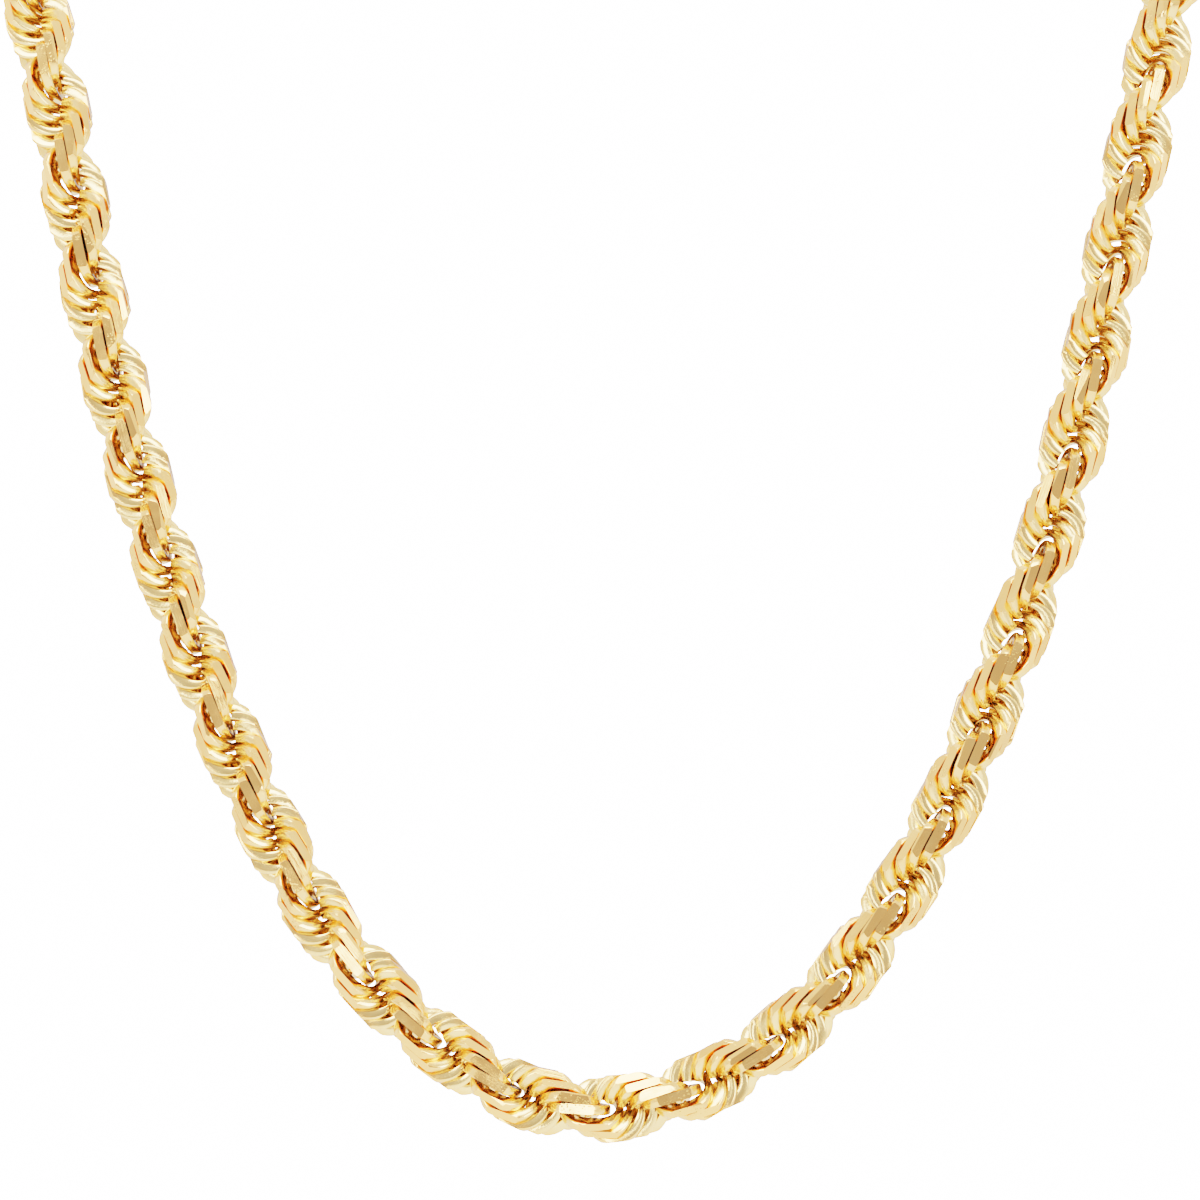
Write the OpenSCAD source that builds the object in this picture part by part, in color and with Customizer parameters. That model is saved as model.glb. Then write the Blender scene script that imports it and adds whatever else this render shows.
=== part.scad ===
// Rope-chain necklace, hanging as it is worn, in millimetres.
// +Z is up, the wearer faces -Y, and the origin is the middle of the clasp at the nape.
// Each half of the rope is one plain round body of the chain's outer diameter.
// It runs from the lowest point of the necklace up to an end cap.

/* [Rope] */
// Outer diameter of the rope
rope_d = 7; // [5:0.1:8]
// Sides of the plain body that stands for the links
rope_sides = 12; // [8:1:16]

/* [End caps] */
// How far the cap's wall stands proud of the rope
cap_wall = 0.4; // [0.3:0.05:0.8]
// Length of each cap along the rope
cap_len = 7; // [5:0.25:8]
// Width of the bevel at the cap's closed end
cap_bevel = 1.5; // [0.5:0.1:2]

/* [Soldered eyes] */
// Wire of the eyes on the caps and on the clasp
eye_wire_d = 1; // [0.8:0.05:1.3]
// Hole of each eye
eye_hole_d = 2.2; // [2:0.05:2.6]
// How deep an eye's wire sinks into what it is soldered to
eye_weld = 0.5; // [0.3:0.05:0.7]

/* [Jump rings] */
// Wire of the jump rings
ring_wire_d = 1; // [0.8:0.05:1.2]
// Hole of each jump ring
ring_hole_d = 4.2; // [3.9:0.05:4.6]
// Free play where one ring bears on another
ring_play = 0.2; // [0.1:0.05:0.3]

/* [Clasp] */
// Wire of the clasp's hook
hook_wire_d = 1.8; // [1.4:0.1:2]
// Width of the opening inside the hook
hook_hole_w = 3.6; // [3:0.1:4.5]
// Length of the spring housing
housing_len = 3.4; // [2.5:0.1:4]
// Thickness of the spring housing
housing_t = 2.6; // [2:0.1:3]
// Rounding of the housing's corners
housing_round = 1; // [0.5:0.1:1.4]
// Diameter of the thumb knob
knob_d = 1.6; // [1.2:0.1:2]
// How far the knob stands out of the hook
knob_proud = 1.2; // [0.8:0.1:1.6]

/* [Hidden] */
$fn = 48;
gold = [0.86, 0.68, 0.32];

// Half of the length at the nape that the caps, the rings and the clasp take up
end_x = 20;
// The middle of the rope, from the lowest point up to the cap: +X side, then -X side
lowest = [0, -112, -167];
route_right = [
    lowest, [8, -112, -165.5], [16, -111, -161.5], [22, -110, -156.5], [28, -109, -149],
    [34.5, -107, -138], [40, -104.5, -125.5], [45, -102, -111.5], [49, -99.5, -97],
    [52.5, -96.5, -82], [56, -93, -66], [59.5, -86.5, -50.5], [61.5, -76.5, -37.5],
    [62, -63.5, -27], [60, -49, -18.5], [55.5, -35, -12], [48.5, -22, -7],
    [40, -12, -3.5], [30.5, -3.5, -1], [end_x, 0, 0]
];
route_left = [
    lowest, [-8, -112, -165.5], [-15.5, -111, -161], [-22, -110, -155.5], [-28, -109, -148],
    [-34, -107, -137.5], [-39.5, -104.5, -125], [-44.5, -102, -111], [-49, -99.5, -95.5],
    [-52.5, -96.5, -80.5], [-55.5, -93, -66], [-59, -86.5, -50.5], [-61.5, -76.5, -37.5],
    [-62, -63.5, -27], [-60, -49, -18.5], [-55.5, -35, -12], [-48.5, -22, -7],
    [-40, -12, -3.5], [-30.5, -3.5, -1], [-end_x, 0, 0]
];
// Rings of the body in each stretch between two points of the route
rings_per_span = 2;

// Corner radius of the rope's body, whose flats then lie at the rope's radius
rope_corner_r = rope_d / 2 / cos(180 / rope_sides);
cap_r = rope_corner_r + cap_wall;
cap_face_x = end_x - cap_len;
eye_r = (eye_hole_d + eye_wire_d) / 2;
ring_r = (ring_hole_d + ring_wire_d) / 2;
hook_r = (hook_hole_w + hook_wire_d) / 2;
cap_eye_x = cap_face_x - eye_r - eye_wire_d / 2 + eye_weld;
// A jump ring's wire bears on the far wall of the eye, with the play between them
ring_x = cap_eye_x - eye_hole_d / 2 + ring_play + ring_wire_d / 2 - ring_r;
// The hook's bow bears on the ring's other side, and so does the clasp's own eye
hook_tip_x = ring_x - ring_hole_d / 2 + ring_play + hook_wire_d / 2;
hook_x = hook_tip_x - hook_r;
clasp_eye_x = -ring_x + ring_hole_d / 2 - ring_play - eye_wire_d / 2 + eye_r;
housing_back_x = clasp_eye_x + eye_r + eye_wire_d / 2 - eye_weld;
housing_x = housing_back_x + housing_len;

// Slope of a smooth curve through the points: level with X at both ends
function slope(p, i) =
    i == 0 ? [norm(p[1] - p[0]) * sign(p[1].x), 0, 0]
    : i == len(p) - 1 ? [norm(p[i] - p[i - 1]) * -sign(p[i].x), 0, 0]
    : (p[i + 1] - p[i - 1]) / 2;

// The point at a share t of the stretch from point i to the next, by a cubic with those slopes
function along(p, i, t) =
    (2 * t ^ 3 - 3 * t ^ 2 + 1) * p[i] + (t ^ 3 - 2 * t ^ 2 + t) * slope(p, i)
    + (3 * t ^ 2 - 2 * t ^ 3) * p[i + 1] + (t ^ 3 - t ^ 2) * slope(p, i + 1);

function centre_line(p, n) = concat(
    [for (i = [0 : len(p) - 2], k = [0 : n - 1]) along(p, i, k / n)], [p[len(p) - 1]]);

function unit(v) = v / norm(v);

// Direction of the line at each of its points
function heading(line, i) =
    i == 0 ? [sign(line[1].x), 0, 0]
    : i == len(line) - 1 ? [-sign(line[i].x), 0, 0]
    : unit(line[i + 1] - line[i - 1]);

// Side directions, each carried on from the last one without twist
function sideways(line, i = 1, done = [[0, 1, 0]]) =
    i == len(line) ? done
    : let (h = heading(line, i), last = done[i - 1])
        sideways(line, i + 1, concat(done, [unit(last - h * (last * h))]));

// A round body swept along a line, with flat ends
module swept(line, r, sides) {
    side = sideways(line);
    last = len(line) - 1;
    points = [for (i = [0 : last], k = [0 : sides - 1])
        let (a = 360 * (k + 0.5) / sides, h = heading(line, i))
            line[i] + r * (cos(a) * side[i] + sin(a) * cross(h, side[i]))];
    walls = [for (i = [0 : last - 1], k = [0 : sides - 1])
        let (a = i * sides, b = a + sides, n = (k + 1) % sides) [a + k, b + k, b + n, a + n]];
    start = [for (k = [0 : sides - 1]) k];
    finish = [for (k = [sides - 1 : -1 : 0]) last * sides + k];
    polyhedron(points, concat([start], walls, [finish]));
}

// A ring of round wire that lies flat in the XY plane
module wire_ring(r, wire_d) {
    rotate_extrude() translate([r, 0]) circle(d = wire_d);
}

// An eye stands in the XZ plane, and the jump ring through it lies in the XY plane
module eye(x) {
    translate([x, 0, 0]) rotate([90, 0, 0]) wire_ring(eye_r, eye_wire_d);
}

// The cap closes the rope's end and carries an eye; this is the one on the +X side
module cap() {
    translate([cap_face_x, 0, 0]) rotate([0, 90, 0]) rotate_extrude()
        polygon([[0, 0], [cap_r - cap_bevel, 0], [cap_r, cap_bevel], [cap_r, cap_len], [0, cap_len]]);
    eye(cap_eye_x);
}

module rope_left() {
    color(gold) swept(centre_line(route_left, rings_per_span), rope_corner_r, rope_sides);
}

module rope_right() {
    color(gold) swept(centre_line(route_right, rings_per_span), rope_corner_r, rope_sides);
}

module cap_left() {
    color(gold) mirror([1, 0, 0]) cap();
}

module cap_right() {
    color(gold) cap();
}

module ring_left() {
    color(gold) translate([-ring_x, 0, 0]) wire_ring(ring_r, ring_wire_d);
}

module ring_right() {
    color(gold) translate([ring_x, 0, 0]) wire_ring(ring_r, ring_wire_d);
}

// A closed lobster clasp: a hook bow, two legs, a spring housing, a thumb knob and an eye
module clasp() {
    housing_w = 2 * hook_r + hook_wire_d;
    color(gold) union() {
        translate([hook_x, 0, 0]) rotate([90, 0, 0]) rotate([0, 0, -90]) rotate_extrude(angle = 180)
            translate([hook_r, 0]) circle(d = hook_wire_d);
        for (s = [-1, 1])
            translate([housing_x - eye_weld, 0, s * hook_r]) rotate([0, 90, 0])
                cylinder(h = hook_x - housing_x + eye_weld, d = hook_wire_d);
        translate([housing_back_x, 0, 0]) rotate([90, 0, 0]) translate([0, 0, -housing_t / 2])
            linear_extrude(housing_t) union() {
                translate([0, -housing_w / 2 + housing_round]) square([housing_len, housing_w - 2 * housing_round]);
                translate([housing_round, -housing_w / 2]) square([housing_len - 2 * housing_round, housing_w]);
                for (x = [housing_round, housing_len - housing_round], s = [-1, 1])
                    translate([x, s * (housing_w / 2 - housing_round)]) circle(r = housing_round);
            }
        translate([hook_x, 0, hook_r]) cylinder(h = hook_wire_d / 2 + knob_proud, d = knob_d);
        eye(clasp_eye_x);
    }
}

rope_left();
rope_right();
cap_left();
cap_right();
ring_left();
ring_right();
clasp();
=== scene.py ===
# %% [markdown]
# A rope chain of yellow gold
#
# A rope chain is made of hundreds of short, flat links. They pass through one another, each
# a little higher and a little further turned than the last, so that their rims wind round
# the chain like the strands of a rope. A cutter then shaves flats along the finished rope,
# which is where its sparkle comes from.
#
# The scene follows the same order. It loads the plain body of the necklace, places the
# camera, draws the line that the rope follows, shapes one link, turns and cuts it, winds the
# rope out of such links, and ends with the gold, the light and the floor.

# %% Load the plain model
import math
import random

import bmesh
import bpy
import numpy as np
from mathutils import Matrix, Vector


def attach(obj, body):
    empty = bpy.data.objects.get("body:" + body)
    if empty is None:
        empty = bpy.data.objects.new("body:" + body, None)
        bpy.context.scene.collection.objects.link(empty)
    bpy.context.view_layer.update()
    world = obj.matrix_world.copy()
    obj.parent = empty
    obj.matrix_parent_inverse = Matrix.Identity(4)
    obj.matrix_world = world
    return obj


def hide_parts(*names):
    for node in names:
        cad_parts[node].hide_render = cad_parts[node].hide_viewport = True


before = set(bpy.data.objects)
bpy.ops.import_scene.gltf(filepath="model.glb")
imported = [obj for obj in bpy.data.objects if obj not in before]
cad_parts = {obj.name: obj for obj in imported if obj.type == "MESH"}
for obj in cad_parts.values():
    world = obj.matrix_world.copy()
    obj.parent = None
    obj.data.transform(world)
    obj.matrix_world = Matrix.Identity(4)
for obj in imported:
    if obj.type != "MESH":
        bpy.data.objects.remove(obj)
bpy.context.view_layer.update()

# Lengths are in millimetres until a mesh or the camera is made, and this turns them into metres
MM = 0.001
print("Plain model:", sorted(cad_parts))

# %% [markdown]
# The camera
#
# The photograph looks straight at the front of the necklace, from the height of the middle
# of the stretch that shows, and seems taken with a long lens. From almost a metre away such
# a lens shows hardly any perspective, so both sides of the chain keep their width. The
# picture is 1200 pixels square, and one pixel is about a tenth of a millimetre at the front
# of the chain. The lens is worked out from that width, so the picture frames the same stretch.

# %% Place the camera
PHOTO_SIDE = 1200
MM_PER_PIXEL = 0.1015
PHOTO_WIDTH = MM_PER_PIXEL * PHOTO_SIDE
PHOTO_TOP = -55.0
FRONT_Y = -103.0
VIEW_DISTANCE = 900.0
VIEW_HEIGHT = PHOTO_TOP - PHOTO_WIDTH / 2
SENSOR_WIDTH = 36.0
NEAREST_SEEN = 50.0
FARTHEST_SEEN = 20000.0

camera = bpy.data.objects.new("camera", bpy.data.cameras.new("camera"))
bpy.context.scene.collection.objects.link(camera)
camera.location = Vector((0, FRONT_Y - VIEW_DISTANCE, VIEW_HEIGHT)) * MM
camera.rotation_euler = (math.radians(90), 0, 0)
camera.data.sensor_width = SENSOR_WIDTH
camera.data.lens = SENSOR_WIDTH * VIEW_DISTANCE / PHOTO_WIDTH
camera.data.clip_start = NEAREST_SEEN * MM
camera.data.clip_end = FARTHEST_SEEN * MM
bpy.context.scene.camera = camera
print("Camera with a %.0f mm lens, %.2f m in front" % (camera.data.lens, VIEW_DISTANCE * MM))

# %% [markdown]
# The line that the rope follows
#
# A worn necklace hangs in a deep curve at the front and goes back over the shoulders to
# the nape. Its middle line is a short list of points for each side, joined by a cubic
# curve through all of them. A curve object could draw it too, but a formula gives the place
# at any length along the rope, and the plain body was swept by the same one, so the links
# lie exactly where the plain rope lies.

# %% The points of both sides
END_X = 20
LOWEST = (0, -112, -167)
ROUTE_RIGHT = [
    LOWEST, (8, -112, -165.5), (16, -111, -161.5), (22, -110, -156.5), (28, -109, -149),
    (34.5, -107, -138), (40, -104.5, -125.5), (45, -102, -111.5), (49, -99.5, -97),
    (52.5, -96.5, -82), (56, -93, -66), (59.5, -86.5, -50.5), (61.5, -76.5, -37.5),
    (62, -63.5, -27), (60, -49, -18.5), (55.5, -35, -12), (48.5, -22, -7),
    (40, -12, -3.5), (30.5, -3.5, -1), (END_X, 0, 0),
]
ROUTE_LEFT = [
    LOWEST, (-8, -112, -165.5), (-15.5, -111, -161), (-22, -110, -155.5), (-28, -109, -148),
    (-34, -107, -137.5), (-39.5, -104.5, -125), (-44.5, -102, -111), (-49, -99.5, -95.5),
    (-52.5, -96.5, -80.5), (-55.5, -93, -66), (-59, -86.5, -50.5), (-61.5, -76.5, -37.5),
    (-62, -63.5, -27), (-60, -49, -18.5), (-55.5, -35, -12), (-48.5, -22, -7),
    (-40, -12, -3.5), (-30.5, -3.5, -1), (-END_X, 0, 0),
]
print("The line passes", len(ROUTE_LEFT), "points on the left and", len(ROUTE_RIGHT), "on the right")


# %% A smooth curve through the points, level at both ends
STEPS_PER_SPAN = 40


def curve_through(route):
    points = np.array(route, float)
    slopes = np.zeros_like(points)
    slopes[1:-1] = (points[2:] - points[:-2]) / 2
    first = np.linalg.norm(points[1] - points[0]) * np.sign(points[1][0])
    last = -np.linalg.norm(points[-1] - points[-2]) * np.sign(points[-1][0])
    slopes[0] = (first, 0, 0)
    slopes[-1] = (last, 0, 0)
    line = []
    for i in range(len(points) - 1):
        for t in np.arange(STEPS_PER_SPAN) / STEPS_PER_SPAN:
            line.append(
                (2 * t**3 - 3 * t**2 + 1) * points[i] + (t**3 - 2 * t**2 + t) * slopes[i]
                + (3 * t**2 - 2 * t**3) * points[i + 1] + (t**3 - t**2) * slopes[i + 1])
    line.append(points[-1])
    return np.array(line)


def lengths_along(line):
    return np.concatenate([[0], np.cumsum(np.linalg.norm(np.diff(line, axis=0), axis=1))])


right_line = curve_through(ROUTE_RIGHT)
left_line = curve_through(ROUTE_LEFT)
right_length = lengths_along(right_line)[-1]
left_length = lengths_along(left_line)[-1]
rope_line = np.concatenate([left_line[::-1], right_line[1:]])
rope_s = lengths_along(rope_line) - left_length
print("Rope: %.1f mm on the left, %.1f mm on the right" % (left_length, right_length))


# %% [markdown]
# Directions across the rope
#
# A link needs to know which way is along the rope and which way is sideways. The sideways
# direction starts at the lowest point, where it looks straight back, and is carried along
# the line without any twist of its own. All the twist of the rope is then in one number.

# %% Carry the sideways direction along the line
def carry_sideways(line, start_index, start_direction):
    along = np.gradient(line, axis=0)
    along /= np.linalg.norm(along, axis=1)[:, None]
    sideways = np.zeros_like(line)
    sideways[start_index] = start_direction
    for step, stop in ((1, len(line)), (-1, -1)):
        for i in range(start_index + step, stop, step):
            last = sideways[i - step]
            flat = last - along[i] * (last @ along[i])
            sideways[i] = flat / np.linalg.norm(flat)
    return along, sideways


rope_along, rope_side = carry_sideways(rope_line, len(left_line) - 1, (0, 1, 0))


def place_at(s):
    """Point, two sideways directions and the direction along the rope at a length s"""
    def read(values):
        return np.array([np.interp(s, rope_s, values[:, axis]) for axis in range(3)])
    point = read(rope_line)
    along = read(rope_along)
    along /= np.linalg.norm(along)
    side = read(rope_side)
    side -= along * (side @ along)
    side /= np.linalg.norm(side)
    return point, side, np.cross(along, side), along


print("The rope's middle passes", [round(v, 1) for v in place_at(0)[0]], "at its lowest")

# %% [markdown]
# The twist of the rope
#
# Seen from the front, the rope narrows each time that a link turns its edge to us, twice
# in each full turn. In the photograph these waists lie a little closer together at the
# bottom, where the rope bends, than up the sides. So the twist is given as the length of
# half a turn at three places. It changes evenly from the lowest point up both sides, over
# the reach named here, and then stays the same. The whole rope is also turned back by a
# small share of a half turn, which brings the waists to their heights in the photograph.

# %% Half turns along the rope
HALF_TURN_LOW = 9.31
HALF_TURN_LEFT = 10.14
HALF_TURN_RIGHT = 10.56
EVEN_REACH = 128.0
TURNED_AT_LOWEST = -0.03
LINKS_PER_HALF_TURN = 8


def half_turns(s):
    """How many half turns the rope has made at a length s from its lowest point"""
    upper = np.where(s < 0, HALF_TURN_LEFT, HALF_TURN_RIGHT)
    change = 1 / upper - 1 / HALF_TURN_LOW
    near = np.clip(np.abs(s), 0, EVEN_REACH)
    turns = near / HALF_TURN_LOW + change * near**2 / (2 * EVEN_REACH)
    turns = turns + (np.abs(s) - near) / upper
    return TURNED_AT_LOWEST + np.sign(s) * turns


turns_here = half_turns(rope_s)
first_link = math.ceil(turns_here[0] * LINKS_PER_HALF_TURN)
last_link = math.floor(turns_here[-1] * LINKS_PER_HALF_TURN)
print("Links in the rope:", last_link - first_link + 1)

# %% [markdown]
# One link
#
# A link is a flat strip of gold bent into an oval that is open on one side, so that it can
# be threaded over the links before it. It is deep where it shows, on the outside of the
# rope, and thin where it crosses the heart of the rope, so that the others have room to
# pass. A torus has one section all the way round, and this strip doesn't, so the link is
# built from sections. Each has ten corners: its outer edges are rounded in two steps, as
# rolled strip is, and its inner ones have a small chamfer.

# %% Build the sections of a link
LINK_HALF_WIDTH = 3.74
LINK_HALF_HEIGHT = 3.22
STRIP_DEPTH_SIDE = 1.45
STRIP_DEPTH_END = 0.78
STRIP_THICKNESS = 1.0
CHAMFER = 0.07
ROUNDING = 0.2
OPENING = math.radians(36)
OPENING_PLACE = math.radians(270)
SQUARENESS = 2.2
SECTIONS = 42


def link_sections():
    """Corners of one link, lying in the plane of its width and its height"""
    half = STRIP_THICKNESS / 2
    halfway = ROUNDING * (1 - math.sqrt(0.5))
    sections = []
    for angle in np.linspace(OPENING / 2, 2 * math.pi - OPENING / 2, SECTIONS) + OPENING_PLACE:
        direction = np.array([math.cos(angle), math.sin(angle)])
        direction = np.sign(direction) * np.abs(direction) ** (2 / SQUARENESS)
        outer = direction * (LINK_HALF_WIDTH, LINK_HALF_HEIGHT)
        inner = direction * (LINK_HALF_WIDTH - STRIP_DEPTH_SIDE, LINK_HALF_HEIGHT - STRIP_DEPTH_END)
        inward = (inner - outer) / np.linalg.norm(inner - outer)
        corners = [
            (outer, ROUNDING - half), (outer, half - ROUNDING),
            (outer + inward * halfway, half - halfway), (outer + inward * ROUNDING, half),
            (inner - inward * CHAMFER, half), (inner, half - CHAMFER),
            (inner, CHAMFER - half), (inner - inward * CHAMFER, -half),
            (outer + inward * ROUNDING, -half), (outer + inward * halfway, halfway - half),
        ]
        sections.append([(flat[0], flat[1], depth) for flat, depth in corners])
    return np.array(sections)


LINK = link_sections()
print("One link has", LINK.shape[0], "sections of", LINK.shape[1], "corners")

# %% [markdown]
# Turn the links
#
# Each link stands in a plane through the rope's middle line, and from one link to the next
# that plane turns by a share of the half turn. In the real chain the links lean on each
# other: most lie close side by side, and one in each half turn stands clear of the link
# before it, so that light shows through. A short list says how far, in degrees, each link of
# a half turn has turned, and LINK_AT_LOWEST says which of them stands at the lowest point.
# A little random shake of the turn, the lean and the place keeps the links from looking
# machine made. It is seeded, so that every run gives the same rope. Every draw counts in
# that: the directions printed below take the first two.

# %% Turn of each link
LINK_TURNS = (0, 31, 52, 74, 96, 118, 140, 160)
LINK_AT_LOWEST = 2
SHAKE = math.radians(1.6)
SLIDE = 0.1
SEED = 7
shake = random.Random(SEED)


def link_axes(number):
    """Width, height and thickness directions of a link, in the rope's own directions"""
    halves, place = divmod(number + LINK_AT_LOWEST, LINKS_PER_HALF_TURN)
    angle = math.pi * halves + math.radians(LINK_TURNS[place]) + shake.uniform(-SHAKE, SHAKE)
    width = np.array([math.cos(angle), math.sin(angle), 0.0])
    round_rope = np.array([-math.sin(angle), math.cos(angle), 0.0])
    lean = shake.uniform(-SHAKE, SHAKE)
    height = np.array([0, 0, 1.0]) * math.cos(lean) + round_rope * math.sin(lean)
    return width, height, np.cross(width, height)


print("First link's directions:", [np.round(axis, 2).tolist() for axis in link_axes(0)])

# %% Put a link in an empty mesh
def add_link(mesh, number):
    """Adds a link in the rope's own directions, with smooth faces and two flat ends"""
    corners = LINK @ np.stack(link_axes(number))
    count, around = corners.shape[:2]
    verts = [[mesh.verts.new(corner) for corner in section] for section in corners]
    for i in range(count - 1):
        for j in range(around):
            n = (j + 1) % around
            mesh.faces.new((verts[i][j], verts[i][n], verts[i + 1][n], verts[i + 1][j]))
    mesh.faces.new(verts[0][::-1])
    mesh.faces.new(verts[-1])
    for face in mesh.faces:
        face.smooth = True


print("A link starts with", LINK.shape[0] * LINK.shape[1], "points")

# %% [markdown]
# Cut the flats
#
# The diamond cutting is eight flat cuts along the rope. A cut is a plane beside the rope's
# middle line, and everything outside it is shaved off. A boolean could do that too, but
# bisecting the mesh and closing the open edge is quicker and gives the same crisp facet. No
# two links lie quite alike under the tool, so each facet is tipped by up to six degrees,
# round the rope and along it, and that is what makes the rope twinkle. The new faces get a
# material slot of their own, because a cut face is brighter than the drawn strip.

# %% Shave a link with the eight planes
CUTS = 8
CUT_RADIUS = 3.25
CUT_TIP = 0.11
ON_THE_PLANE = 1e-5
SHARP_ANGLE = math.radians(50)
CUT_SLOT = 1


def shave_link(mesh):
    """Cuts the flats of a link and marks its sharp edges"""
    for cut in range(CUTS):
        angle = 2 * math.pi * cut / CUTS
        direction = Vector((math.cos(angle), math.sin(angle), 0))
        across = Vector((-math.sin(angle), math.cos(angle), 0))
        tipped = direction + across * shake.uniform(-CUT_TIP, CUT_TIP)
        tipped.z = shake.uniform(-CUT_TIP, CUT_TIP)
        made = bmesh.ops.bisect_plane(
            mesh, geom=mesh.verts[:] + mesh.edges[:] + mesh.faces[:], dist=ON_THE_PLANE,
            plane_co=direction * CUT_RADIUS, plane_no=tipped.normalized(), clear_outer=True)
        edges = [part for part in made["geom_cut"] if isinstance(part, bmesh.types.BMEdge)]
        if edges:
            bmesh.ops.edgeloop_fill(mesh, edges=edges, mat_nr=CUT_SLOT, use_smooth=False)
    bmesh.ops.recalc_face_normals(mesh, faces=mesh.faces)
    for edge in mesh.edges:
        if len(edge.link_faces) == 2 and edge.calc_face_angle() > SHARP_ANGLE:
            edge.smooth = False


print("The flats lie %.2f mm from the rope's middle, and a bare link reaches %.2f mm" % (
    CUT_RADIUS, LINK_HALF_WIDTH))

# %% [markdown]
# Join one half of the rope
#
# Every link is made in the rope's own directions, where it is easy to cut, and then moved
# to its place on the middle line. Each point also keeps its place in the straight rope, in
# millimetres: sideways, across, and along. The gold uses it later, so that its tone can
# change with the depth and the cutter's lines can follow the rope round every bend. An array
# of one link along a curve would be lighter, but there no two links could differ.

# %% Wind one half of the rope
PLACE_IN_ROPE = "place_in_rope"


def wind_rope(name, links):
    """Joins all links of one half into a single piece"""
    rope = bmesh.new()
    straight = []
    for number in links:
        s = np.interp(number / LINKS_PER_HALF_TURN, turns_here, rope_s) + shake.uniform(-SLIDE, SLIDE)
        point, side, across, along = place_at(s)
        link = bmesh.new()
        add_link(link, number)
        shave_link(link)
        for vert in link.verts:
            straight.extend((vert.co.x, vert.co.y, vert.co.z + s))
        place = Matrix([[side[a], across[a], along[a], point[a]] for a in range(3)] + [[0, 0, 0, 1]])
        link.transform(Matrix.Scale(MM, 4) @ place)
        single = bpy.data.meshes.new("single_link")
        link.to_mesh(single)
        link.free()
        rope.from_mesh(single)
        bpy.data.meshes.remove(single)
    mesh = bpy.data.meshes.new(name)
    rope.to_mesh(mesh)
    rope.free()
    places = mesh.attributes.new(PLACE_IN_ROPE, "FLOAT_VECTOR", "POINT")
    places.data.foreach_set("vector", straight)
    piece = bpy.data.objects.new(name, mesh)
    bpy.context.scene.collection.objects.link(piece)
    triangles = sum(len(face.vertices) - 2 for face in mesh.polygons)
    print(name, "has", len(links), "links and", triangles, "triangles")
    return piece


links_left = wind_rope("links_left", range(first_link, 0))
links_right = wind_rope("links_right", range(0, last_link + 1))

# %% [markdown]
# Effects that the golds share
#
# Three things change over the surface of this gold: its tone, the wear of handling, and the
# marks of the cutter. Each is a node group of its own, so that every gold can use it with
# its own values. Painted maps could hold them too, but noise that is worked out in place
# needs no pictures and stays sharp from close by. Every group is told the place of the point
# in millimetres, so its patterns have real sizes.

# %% A short way to make nodes
# The Mix node has two sockets for each kind of value; these are the ones for colours
FIRST_COLOUR = 6
SECOND_COLOUR = 7
MIXED_COLOUR = 2


def new_group(name, inputs, outputs):
    """An empty node group with named sockets, and its two end nodes"""
    group = bpy.data.node_groups.new(name, "ShaderNodeTree")
    for socket, kind, value in inputs:
        made = group.interface.new_socket(socket, in_out="INPUT", socket_type="NodeSocket" + kind)
        made.default_value = value
    for socket, kind in outputs:
        group.interface.new_socket(socket, in_out="OUTPUT", socket_type="NodeSocket" + kind)
    return group, group.nodes.new("NodeGroupInput"), group.nodes.new("NodeGroupOutput")


def add_node(tree, kind, inputs=None, **settings):
    """Adds a node; an input is either a value or a socket to link from"""
    node = tree.nodes.new("ShaderNode" + kind)
    for key, value in settings.items():
        setattr(node, key, value)
    for key, value in (inputs or {}).items():
        if isinstance(value, bpy.types.NodeSocket):
            tree.links.new(value, node.inputs[key])
        else:
            node.inputs[key].default_value = value
    return node


def maths(tree, operation, first, second):
    return add_node(tree, "Math", {0: first, 1: second}, operation=operation).outputs[0]


def mix_colours(tree, share, first, second):
    colours = {"Factor": share, FIRST_COLOUR: first, SECOND_COLOUR: second}
    return add_node(tree, "Mix", colours, data_type="RGBA").outputs[MIXED_COLOUR]


print("Colours mix from sockets", FIRST_COLOUR, "and", SECOND_COLOUR)

# %% Noise, and how far it swings
# Nearly all of the noise lies between these two values; a narrower range gives harder patches
SOFT_NOISE = (0.3, 0.7)
WHOLE_RANGE = (0.0, 1.0)


def noise(tree, place, scale, detail, stretch=(1, 1, 1)):
    """Patches, so many to a unit of the place; a small stretch number draws them out"""
    mapping = add_node(tree, "Mapping", {"Vector": place, "Scale": stretch})
    texture = add_node(tree, "TexNoise", {"Vector": mapping.outputs[0], "Scale": scale, "Detail": detail})
    return texture.outputs["Fac"]


def spread(tree, value, source, target):
    """Maps a value from one range to another and stops at the ends"""
    node = add_node(tree, "MapRange", {
        "Value": value, "From Min": source[0], "From Max": source[1],
        "To Min": target[0], "To Max": target[1]})
    return node.outputs["Result"]


print("Soft noise is spread from", SOFT_NOISE, "to", WHOLE_RANGE)

# %% [markdown]
# Tone
#
# The alloy is the same all through, but a rope chain looks red deep between its links and
# pale outside. Light that goes in there bounces from gold to gold, and each bounce colours
# it once more. The renderer does the same, and a little too well: with one colour all over,
# the gaps come out redder than in the photograph. So the deep gold is really the paler one,
# and the outer gold is richer. The place in the rope says how deep a point lies.

# %% Tone: a paler gold painted deep inside against the light that bounces there, a richer gold outside, and random patches
PATCHES_TO_MM = 0.35
PATCH_SWING = 0.1
# How far out, as a share of the cut radius, the painted paler gold gives way to the outer gold
DEEP_TO_OUTER = (0.75, 1.0)


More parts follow.
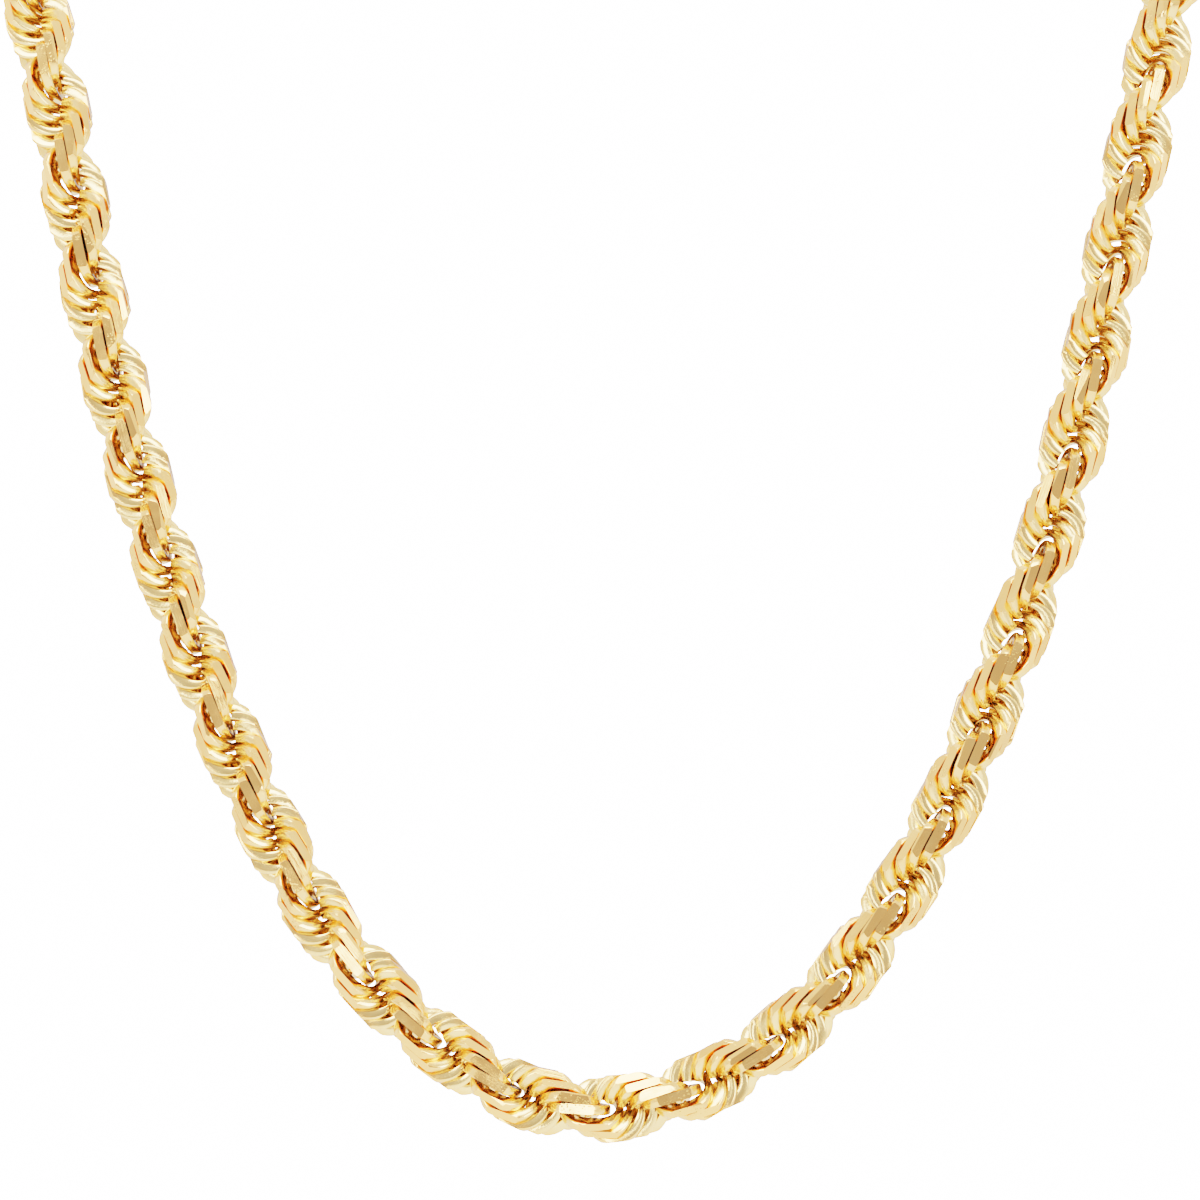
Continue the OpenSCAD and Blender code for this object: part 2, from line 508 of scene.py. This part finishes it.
def make_tone_and_painted_bounce():
    group, start, end = new_group(
        "tone_and_painted_bounce",
        [("Place", "Vector", (0, 0, 0)), ("Reach", "Float", 1.0),
         ("Deep Gold", "Color", (0.8, 0.4, 0.1, 1)), ("Outer Gold", "Color", (0.9, 0.6, 0.25, 1))],
        [("Colour", "Color")])
    patches = noise(group, start.outputs["Place"], PATCHES_TO_MM, detail=2)
    uneven = spread(group, patches, SOFT_NOISE, (-PATCH_SWING, PATCH_SWING))
    # The gold is painted paler deep in the rope, where light bounces from link to link, and the patches
    # shift that border at random
    reach = maths(group, "ADD", start.outputs["Reach"], uneven)
    share = spread(group, reach, DEEP_TO_OUTER, WHOLE_RANGE)
    colour = mix_colours(group, share, start.outputs["Deep Gold"], start.outputs["Outer Gold"])
    group.links.new(colour, end.inputs["Colour"])
    return group


tone_and_painted_bounce = make_tone_and_painted_bounce()
print("Made the group", tone_and_painted_bounce.name)

# %% [markdown]
# Handling
#
# A worn chain is never quite clean. Skin leaves soft smears that make the gold a little
# hazy in patches, and cloth leaves hair-fine scratches, some along the rope and some across
# it. Noise that is drawn out along one axis gives such hairs.

# %% Handling: soft smears and fine scratches
SMEARS_TO_MM = 0.5
SMEAR_RANGE = (0.35, 0.65)
LONG_SCRATCHES_TO_MM = 9
LONG_STRETCH = (1, 1, 0.08)
CROSS_SCRATCHES_TO_MM = 7
CROSS_STRETCH = (0.1, 1, 1)


def make_handling():
    group, start, end = new_group(
        "handling",
        [("Place", "Vector", (0, 0, 0)), ("Least Roughness", "Float", 0.12),
         ("Most Roughness", "Float", 0.25)],
        [("Roughness", "Float"), ("Scratches", "Float")])
    place = start.outputs["Place"]
    smears = noise(group, place, SMEARS_TO_MM, detail=4)
    roughness = spread(
        group, smears, SMEAR_RANGE, (start.outputs["Least Roughness"], start.outputs["Most Roughness"]))
    along = noise(group, place, LONG_SCRATCHES_TO_MM, detail=2, stretch=LONG_STRETCH)
    across = noise(group, place, CROSS_SCRATCHES_TO_MM, detail=2, stretch=CROSS_STRETCH)
    scratches = maths(group, "MAXIMUM", along, across)
    group.links.new(roughness, end.inputs["Roughness"])
    group.links.new(scratches, end.inputs["Scratches"])
    return group


handling = make_handling()
print("Made the group", handling.name)

# %% [markdown]
# Marks of the cutter
#
# The diamond tool runs along the rope, so it leaves fine straight lines in each facet.
# Where it chattered it left small dark pits close together. The pits are the middles of
# Voronoi cells, which lie about evenly but never in a grid, and a slow noise keeps them to
# a few places along the chain.

# %% Cutting: lines along the rope, and specks where the tool chattered
LINE_STRETCH = (1, 1, 0.05)
SPECK_SCATTER = 0.7
SPECK_EDGE = (0.22, 0.34)
CHATTER_TO_MM = 0.22
CHATTER_RANGE = (0.56, 0.64)


def make_cutter_marks():
    group, start, end = new_group(
        "cutter_marks",
        [("Place", "Vector", (0, 0, 0)), ("Lines to a Millimetre", "Float", 7.0),
         ("Specks to a Millimetre", "Float", 3.5)],
        [("Lines", "Float"), ("Specks", "Float")])
    place = start.outputs["Place"]
    lines = noise(group, place, start.outputs["Lines to a Millimetre"], detail=2, stretch=LINE_STRETCH)
    cells = add_node(group, "TexVoronoi", {
        "Vector": place, "Scale": start.outputs["Specks to a Millimetre"], "Randomness": SPECK_SCATTER})
    dots = spread(group, cells.outputs["Distance"], SPECK_EDGE, (1.0, 0.0))
    chatter = spread(group, noise(group, place, CHATTER_TO_MM, detail=1), CHATTER_RANGE, WHOLE_RANGE)
    specks = maths(group, "MULTIPLY", dots, chatter)
    group.links.new(lines, end.inputs["Lines"])
    group.links.new(specks, end.inputs["Specks"])
    return group


cutter_marks = make_cutter_marks()
print("Made the group", cutter_marks.name)

# %% [markdown]
# The golds
#
# All the gold is one alloy with three finishes. The drawn strip of the links is smooth and
# a little hazy. The diamond-cut facets are flatter and brighter, with the tool's lines in
# them. The caps, rings and clasp are polished castings. A metal has no colour of its own
# under the gloss: its base colour is the colour of one reflection.

# %% Start a gold
# A paler gold painted deep between the links, against the light that bounces there; on the fittings it
# shows only in random patches
DEEP_GOLD = (0.90, 0.555, 0.22, 1)


def start_gold(name):
    material = bpy.data.materials.new(name)
    material.use_nodes = True
    tree = material.node_tree
    shader = tree.nodes["Principled BSDF"]
    shader.inputs["Metallic"].default_value = 1
    return material, tree, shader


def gold_wear_and_painted_bounce(tree, place, reach, outer_gold, roughness):
    """Colour, roughness and scratches of a gold, from the groups that all golds share; the colour is
    painted paler deep in the rope, against the light that bounces there
    """
    tone = add_node(tree, "Group", {
        "Place": place, "Reach": reach, "Deep Gold": DEEP_GOLD, "Outer Gold": outer_gold},
        node_tree=tone_and_painted_bounce)
    wear = add_node(tree, "Group", {
        "Place": place, "Least Roughness": roughness[0], "Most Roughness": roughness[1]},
        node_tree=handling)
    return tone.outputs["Colour"], wear.outputs["Roughness"], wear.outputs["Scratches"]


def raise_surface(tree, shader, height, depth_mm):
    """Gives the surface a relief of a real depth"""
    bump = add_node(tree, "Bump", {"Height": height, "Strength": 1.0, "Distance": depth_mm * MM})
    tree.links.new(bump.outputs["Normal"], shader.inputs["Normal"])


print("Deep between the links the gold is", DEEP_GOLD[:3])


# %% Gold of the drawn strip
OUTER_GOLD = (0.95, 0.475, 0.165, 1)
DRAWN_ROUGHNESS = (0.13, 0.24)
DRAWN_RELIEF = 0.006


def place_in_rope(tree):
    """Place in the straight rope, and how far out that is, from 0 in the middle to 1 at the cuts"""
    place = add_node(tree, "Attribute", attribute_name=PLACE_IN_ROPE).outputs["Vector"]
    outward = add_node(
        tree, "VectorMath", {0: place, 1: (1 / CUT_RADIUS, 1 / CUT_RADIUS, 0)}, operation="MULTIPLY")
    reach = add_node(tree, "VectorMath", {0: outward.outputs[0]}, operation="LENGTH")
    return place, reach.outputs["Value"]


def make_drawn_gold():
    material, tree, shader = start_gold("drawn_gold")
    place, reach = place_in_rope(tree)
    colour, roughness, scratches = gold_wear_and_painted_bounce(tree, place, reach, OUTER_GOLD, DRAWN_ROUGHNESS)
    tree.links.new(colour, shader.inputs["Base Color"])
    tree.links.new(roughness, shader.inputs["Roughness"])
    raise_surface(tree, shader, scratches, DRAWN_RELIEF)
    return material


drawn_gold = make_drawn_gold()
print("Made", drawn_gold.name)


# %% Gold of the diamond-cut facets
CUT_GOLD = (0.97, 0.465, 0.155, 1)
SPECK_GOLD = (0.50, 0.28, 0.08, 1)
CUT_ROUGHNESS = (0.08, 0.2)
CUT_RELIEF = 0.006
LINES_TO_MM = 7.0
SPECKS_TO_MM = 3.5
SPECK_DULLNESS = 0.25
SPECK_HEIGHT = -1.5


def make_diamond_cut_gold():
    material, tree, shader = start_gold("diamond_cut_gold")
    place, reach = place_in_rope(tree)
    colour, roughness, _ = gold_wear_and_painted_bounce(tree, place, reach, CUT_GOLD, CUT_ROUGHNESS)
    marks = add_node(tree, "Group", {
        "Place": place, "Lines to a Millimetre": LINES_TO_MM, "Specks to a Millimetre": SPECKS_TO_MM},
        node_tree=cutter_marks)
    specks = marks.outputs["Specks"]
    speckled = mix_colours(tree, specks, colour, SPECK_GOLD)
    dulled = maths(tree, "ADD", roughness, maths(tree, "MULTIPLY", specks, SPECK_DULLNESS))
    sunk = maths(tree, "MULTIPLY", specks, SPECK_HEIGHT)
    relief = maths(tree, "ADD", marks.outputs["Lines"], sunk)
    tree.links.new(speckled, shader.inputs["Base Color"])
    tree.links.new(dulled, shader.inputs["Roughness"])
    raise_surface(tree, shader, relief, CUT_RELIEF)
    return material


diamond_cut_gold = make_diamond_cut_gold()
print("Made", diamond_cut_gold.name)


# %% Gold of the caps, rings and clasp
FITTING_REACH = 0.9
FITTING_ROUGHNESS = (0.1, 0.22)
FITTING_RELIEF = 0.005


def make_fitting_gold():
    material, tree, shader = start_gold("fitting_gold")
    metres = add_node(tree, "TexCoord").outputs["Object"]
    place = add_node(tree, "VectorMath", {0: metres, 1: (1 / MM, 1 / MM, 1 / MM)}, operation="MULTIPLY")
    colour, roughness, scratches = gold_wear_and_painted_bounce(
        tree, place.outputs[0], FITTING_REACH, OUTER_GOLD, FITTING_ROUGHNESS)
    tree.links.new(colour, shader.inputs["Base Color"])
    tree.links.new(roughness, shader.inputs["Roughness"])
    raise_surface(tree, shader, scratches, FITTING_RELIEF)
    return material


fitting_gold = make_fitting_gold()
print("Made", fitting_gold.name)

# %% [markdown]
# Which piece gets which gold
#
# Each half of the rope has two material slots. The drawn gold comes first and covers the
# strip, and the diamond-cut gold comes second, in the slot that the cut faces were given.
# The links stand for the plain round rope, which is hidden. The caps, the rings and the
# clasp are right as they are, so they keep their shapes and only change their gold.

# %% Give every piece its gold
for piece, plain_node in ((links_left, "rope_left"), (links_right, "rope_right")):
    piece.data.materials.append(drawn_gold)
    piece.data.materials.append(diamond_cut_gold)
    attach(piece, "root")
    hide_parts(plain_node)
for name in ("cap_left", "cap_right", "ring_left", "ring_right", "clasp"):
    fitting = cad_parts[name]
    fitting.data.materials.clear()
    fitting.data.materials.append(fitting_gold)
print("Five fittings keep their plain shapes and get the polished gold")

# %% [markdown]
# The light tent
#
# The photograph seems taken in a light tent: white all round, darker at the two ends, with
# soft lamps. Polished gold shows what is in front of it, so the darker end by the camera
# gives the broad tan faces, and the bright sides and the lamps give the cream edges. The
# tent is the world's background, whose strength follows the direction from front to back.
# The camera looks at pure white paper, which is brighter than the tent that lights the gold,
# so the rays that come straight from the camera get a background of their own.

# %% Light the tent
TENT_FRONT = 0.5
TENT_SIDES = 1.7
TENT_BACK = 0.7
PAPER = 9.0
WHITE = (1, 1, 1, 1)
# Directions from front to back, from -1 straight to the front to 1 straight to the back
FRONT_TO_SIDES = (-0.95, 0.5)
SIDES_TO_BACK = (0.5, 0.95)


def light_tent():
    world = bpy.data.worlds.new("light_tent")
    bpy.context.scene.world = world
    world.use_nodes = True
    tree = world.node_tree
    tent = tree.nodes["Background"]
    direction = add_node(tree, "TexCoord").outputs["Generated"]
    split = add_node(tree, "SeparateXYZ", {0: direction})
    from_front = spread(tree, split.outputs["Y"], FRONT_TO_SIDES, (TENT_FRONT, TENT_SIDES))
    to_back = spread(tree, split.outputs["Y"], SIDES_TO_BACK, (TENT_SIDES, TENT_BACK))
    strength = maths(tree, "MINIMUM", from_front, to_back)
    tree.links.new(strength, tent.inputs["Strength"])
    tent.inputs["Color"].default_value = WHITE
    paper = add_node(tree, "Background", {"Color": WHITE, "Strength": PAPER})
    seen = add_node(tree, "LightPath").outputs["Is Camera Ray"]
    both = add_node(tree, "MixShader", {0: seen, 1: tent.outputs[0], 2: paper.outputs[0]})
    tree.links.new(both.outputs[0], tree.nodes["World Output"].inputs["Surface"])
    return world


print("Lit the", light_tent().name)

# %% [markdown]
# The lamps
#
# Three large softboxes stand at the left, at the right and above, so that every round edge
# gets a broad soft light from one of them. A narrow strip lamp beside the camera adds what
# they can't: thin bright lines on the faces that look straight at us. All are set in metres
# and turned to the middle of the picture. A bare point lamp would be a dot in polished gold,
# and area lamps show there as the soft shapes that they are.

# %% Set up the lamps
def add_lamp(name, place, width, height, watts):
    light = bpy.data.lights.new(name, "AREA")
    light.shape = "RECTANGLE"
    light.size = width
    light.size_y = height
    light.energy = watts
    lamp = bpy.data.objects.new(name, light)
    bpy.context.scene.collection.objects.link(lamp)
    lamp.location = place
    target = Vector((0, FRONT_Y, VIEW_HEIGHT)) * MM
    lamp.rotation_euler = (target - lamp.location).to_track_quat("-Z", "Y").to_euler()
    print(name, "gives", watts, "W")


add_lamp("softbox_left", place=(-0.9, -0.9, 0.3), width=0.5, height=0.9, watts=9)
add_lamp("softbox_right", place=(0.9, -0.8, 0.2), width=0.4, height=0.9, watts=8)
add_lamp("softbox_top", place=(0.0, -0.5, 0.9), width=0.9, height=0.5, watts=9)
add_lamp("strip_lamp", place=(-0.13, -1.0, 0.0), width=0.08, height=0.6, watts=1.3)

# %% [markdown]
# The floor
#
# A plain, pale, matt floor lies well below the necklace, where it shows from above and from
# behind but not from the front. It is round, so that no corner shows from any side, and its
# two whites keep it from looking like a gap in the picture. Its sizes are in metres.

# %% Lay the floor
FLOOR_Z = -0.48
FLOOR_RADIUS = 1.7
FLOOR_SIDES = 96
FLOOR_PATCHES = 6
FLOOR_DARKER = (0.84, 0.84, 0.83, 1)
FLOOR_LIGHTER = (0.88, 0.88, 0.87, 1)
FLOOR_ROUGHNESS = 0.6


def lay_floor():
    mesh = bpy.data.meshes.new("floor")
    angles = [2 * math.pi * side / FLOOR_SIDES for side in range(FLOOR_SIDES)]
    corners = [(FLOOR_RADIUS * math.cos(a), FLOOR_RADIUS * math.sin(a), FLOOR_Z) for a in angles]
    mesh.from_pydata(corners, [], [tuple(range(FLOOR_SIDES))])
    floor = bpy.data.objects.new("floor", mesh)
    bpy.context.scene.collection.objects.link(floor)
    material = bpy.data.materials.new("pale_floor")
    material.use_nodes = True
    tree = material.node_tree
    shader = tree.nodes["Principled BSDF"]
    place = add_node(tree, "TexCoord").outputs["Object"]
    mottle = spread(tree, noise(tree, place, FLOOR_PATCHES, detail=3), SOFT_NOISE, WHOLE_RANGE)
    colour = mix_colours(tree, mottle, FLOOR_DARKER, FLOOR_LIGHTER)
    tree.links.new(colour, shader.inputs["Base Color"])
    shader.inputs["Roughness"].default_value = FLOOR_ROUGHNESS
    mesh.materials.append(material)
    return floor


print("Laid the", lay_floor().name, "%.2f m below the clasp" % -FLOOR_Z)

# %% [markdown]
# Develop the picture
#
# Gold spans a huge range of light, from the gaps to the glints. The plain view transform
# would clip the cream faces to white. Filmic rolls them off softly, and some contrast and
# exposure then bring back the snap of a studio photograph on white.

# %% Choose how light becomes colour
view = bpy.context.scene.view_settings
view.view_transform = "Filmic"
view.look = "Medium High Contrast"
view.exposure = 0.7
print("The picture is developed with", view.view_transform, "and", view.look)
